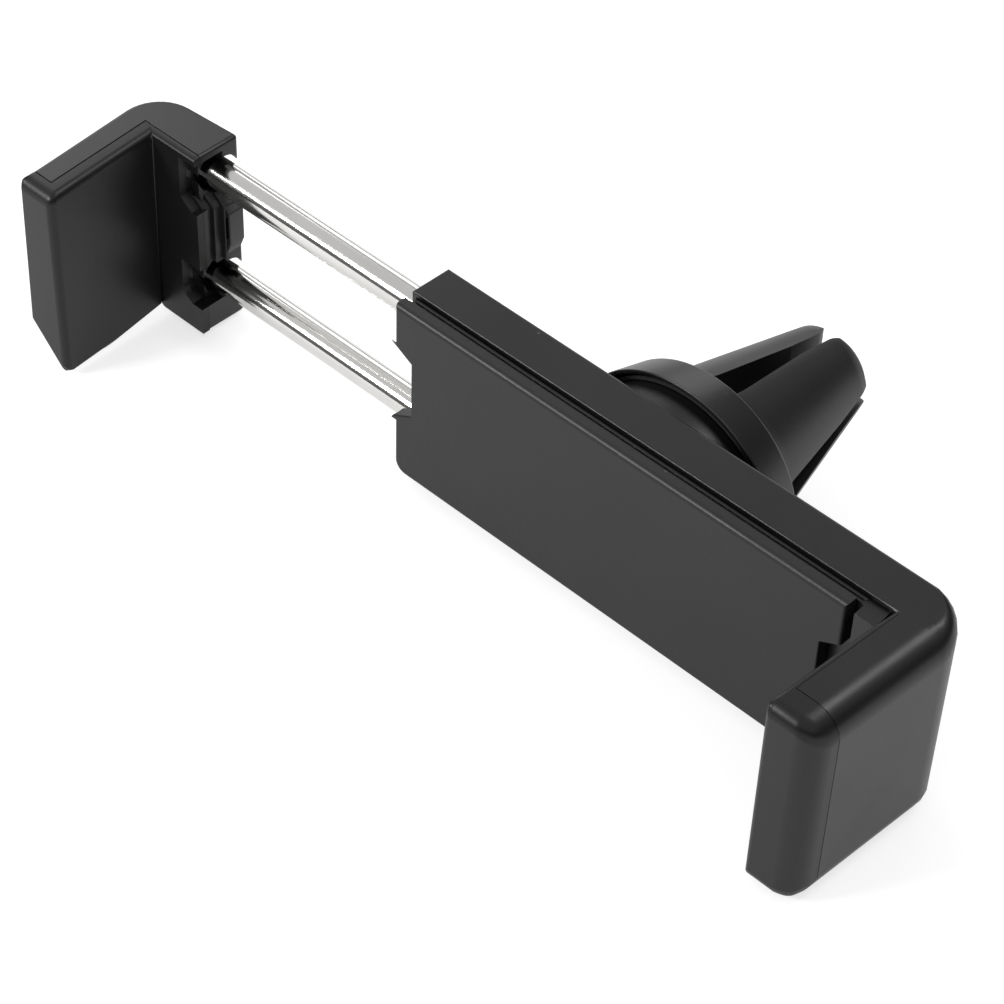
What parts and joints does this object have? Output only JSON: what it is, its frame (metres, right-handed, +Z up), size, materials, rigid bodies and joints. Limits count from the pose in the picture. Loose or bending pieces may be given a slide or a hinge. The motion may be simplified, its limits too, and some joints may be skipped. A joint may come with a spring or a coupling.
{
  "type": "air vent phone holder",
  "caption": "Black plastic air vent phone holder: flat body with a fixed jaw, a moving jaw on two polished rods, and a swivelling four-prong vent clip.",
  "frame": {"origin": "below the middle of the holder, at its lowest point", "axes": "+X along the body from the moving jaw to the fixed jaw, +Y from the front plate to the vent clip, +Z up across the body"},
  "size_m": [0.0942, 0.0424, 0.0222],
  "materials": {
    "black_plastic": "satin black injection-moulded plastic",
    "plate_plastic": "fine-textured matt black plastic",
    "clip_plastic": "matt black flexible plastic",
    "soft_black": "soft satin black elastomer",
    "polished_rod": "polished plated steel",
    "steel": "plain zinc-plated steel",
    "white_plastic": "natural low-friction plastic",
    "ring_rubber": "dull black rubber"
  },
  "bodies": {
    "housing": {"housing_shell": "black_plastic", "front_bezel": "black_plastic", "front_plate": "plate_plastic", "fixed_jaw_liner": "soft_black", "upper_guide_bush": "white_plastic", "lower_guide_bush": "white_plastic", "upper_drag_ring": "ring_rubber", "lower_drag_ring": "ring_rubber", "left_cover_screw": "steel", "right_cover_screw": "steel"},
    "moving_jaw": {"moving_jaw_shell": "black_plastic", "moving_jaw_insert": "black_plastic", "moving_jaw_liner": "soft_black", "upper_rod": "polished_rod", "lower_rod": "polished_rod", "upper_rod_stop": "steel", "lower_rod_stop": "steel", "upper_rod_pin": "steel", "lower_rod_pin": "steel"},
    "swivel_seat": {"seat_liner": "white_plastic"},
    "clip_socket": {"clip_collar": "black_plastic", "swivel_retainer": "black_plastic"},
    "vent_clip": {"prong_clip": "clip_plastic", "swivel_screw": "steel", "spring_washer": "steel"}
  },
  "joints": [
    {"name": "jaw_slide", "type": "slide", "parent": "housing", "child": "moving_jaw", "axis": [1, 0, 0], "range_m": [0, 0.0257]},
    {"name": "clip_tilt_up", "type": "hinge", "parent": "housing", "child": "swivel_seat", "pos_m": [0.01475, -0.00232, 0.0111], "axis": [1, 0, 0], "range_deg": [-7, 7]},
    {"name": "clip_tilt_side", "type": "hinge", "parent": "swivel_seat", "child": "clip_socket", "pos_m": [0.01475, -0.00232, 0.0111], "axis": [0, 0, 1], "range_deg": [-7, 7]},
    {"name": "clip_spin", "type": "hinge", "parent": "clip_socket", "child": "vent_clip", "pos_m": [0.01475, -0.00232, 0.0111], "axis": [0, 1, 0], "continuous": true}
  ]
}
